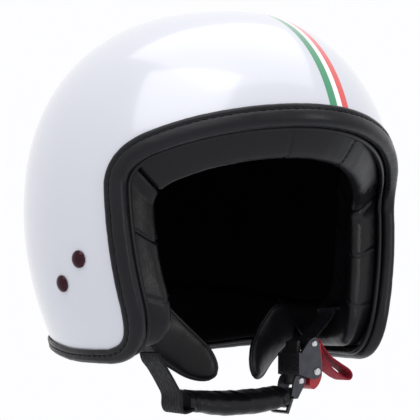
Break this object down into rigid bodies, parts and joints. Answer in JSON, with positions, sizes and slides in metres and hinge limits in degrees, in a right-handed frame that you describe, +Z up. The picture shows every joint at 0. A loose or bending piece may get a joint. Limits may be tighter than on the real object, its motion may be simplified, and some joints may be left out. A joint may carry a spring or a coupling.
{
  "type": "open face motorcycle helmet",
  "caption": "Open face motorcycle helmet with a glossy shell, leather edge, foam liner, comfort pads and a chin strap closed by a ratchet buckle.",
  "frame": {"origin": "middle of the crown pad's flat underside, where the top of the wearer's head rests", "axes": "+Z up, the wearer faces -Y, +X is the wearer's left; the helmet stands as worn"},
  "size_m": [0.251, 0.2555, 0.2646],
  "materials": {
    "shell": "gloss white lacquer",
    "foam": "expanded polystyrene, dark",
    "leather": "black grained leather",
    "lining": "black knitted lining",
    "webbing": "black ribbed nylon webbing",
    "red_webbing": "red woven tape",
    "red_plastic": "moulded red nylon",
    "gunmetal": "grey satin metal",
    "steel": "plated steel",
    "dark_chrome": "black chrome",
    "black_plastic": "moulded black nylon"
  },
  "bodies": {
    "helmet": {"outer_shell": "shell", "foam_liner": "foam", "edge_binding": "leather", "edge_piping": "leather", "brow_pad": "leather", "neck_roll": "leather", "cheek_pad_left": "leather", "cheek_pad_right": "leather", "strap_guard_left": "leather", "strap_guard_right": "leather", "headliner": "lining", "crown_pad": "lining", "anchor_webbing_left": "webbing", "anchor_webbing_right": "webbing", "anchor_plate_left": "steel", "anchor_plate_right": "steel", "rivet_washer_front_left": "steel", "rivet_washer_front_right": "steel", "rivet_washer_rear_left": "steel", "rivet_washer_rear_right": "steel", "strap_rivet_front_left": "dark_chrome", "strap_rivet_front_right": "dark_chrome", "strap_rivet_rear_left": "dark_chrome", "strap_rivet_rear_right": "dark_chrome", "cheek_stud_upper_left": "black_plastic", "cheek_stud_upper_right": "black_plastic", "cheek_stud_lower_left": "black_plastic", "cheek_stud_lower_right": "black_plastic"},
    "buckle": {"buckle_strap": "webbing", "buckle_housing": "gunmetal", "strap_bar": "steel", "lever_pin": "steel", "lever_spring": "steel"},
    "lever": {"release_lever": "red_plastic", "pawl": "steel"},
    "tab": {"pull_tab": "red_webbing"},
    "strap": {"chin_webbing": "webbing", "chin_sleeve": "leather", "strap_adjuster": "gunmetal", "tongue_bracket": "gunmetal", "tongue_pin": "steel", "ratchet_tongue": "black_plastic"}
  },
  "joints": [
    {"name": "strap_swing", "type": "hinge", "parent": "helmet", "child": "buckle", "pos_m": [0.071, -0.032, -0.1568], "axis": [0.9811, 0, 0.1934], "range_deg": [-20, 6]},
    {"name": "strap_release", "type": "hinge", "parent": "buckle", "child": "strap", "pos_m": [-0.066, -0.032, -0.1838], "axis": [0, 1, 0], "range_deg": [0, 70]},
    {"name": "lever_release", "type": "hinge", "parent": "buckle", "child": "lever", "pos_m": [0.05286, -0.032, -0.1938], "axis": [0, 1, 0], "range_deg": [0, 20], "stiffness_Nm_per_rad": 0.03, "springref_deg": -20.05},
    {"name": "pull_tab_swing", "type": "hinge", "parent": "lever", "child": "tab", "pos_m": [0.05774, -0.032, -0.17563], "axis": [0, 1, 0], "range_deg": [0, 12]}
  ]
}
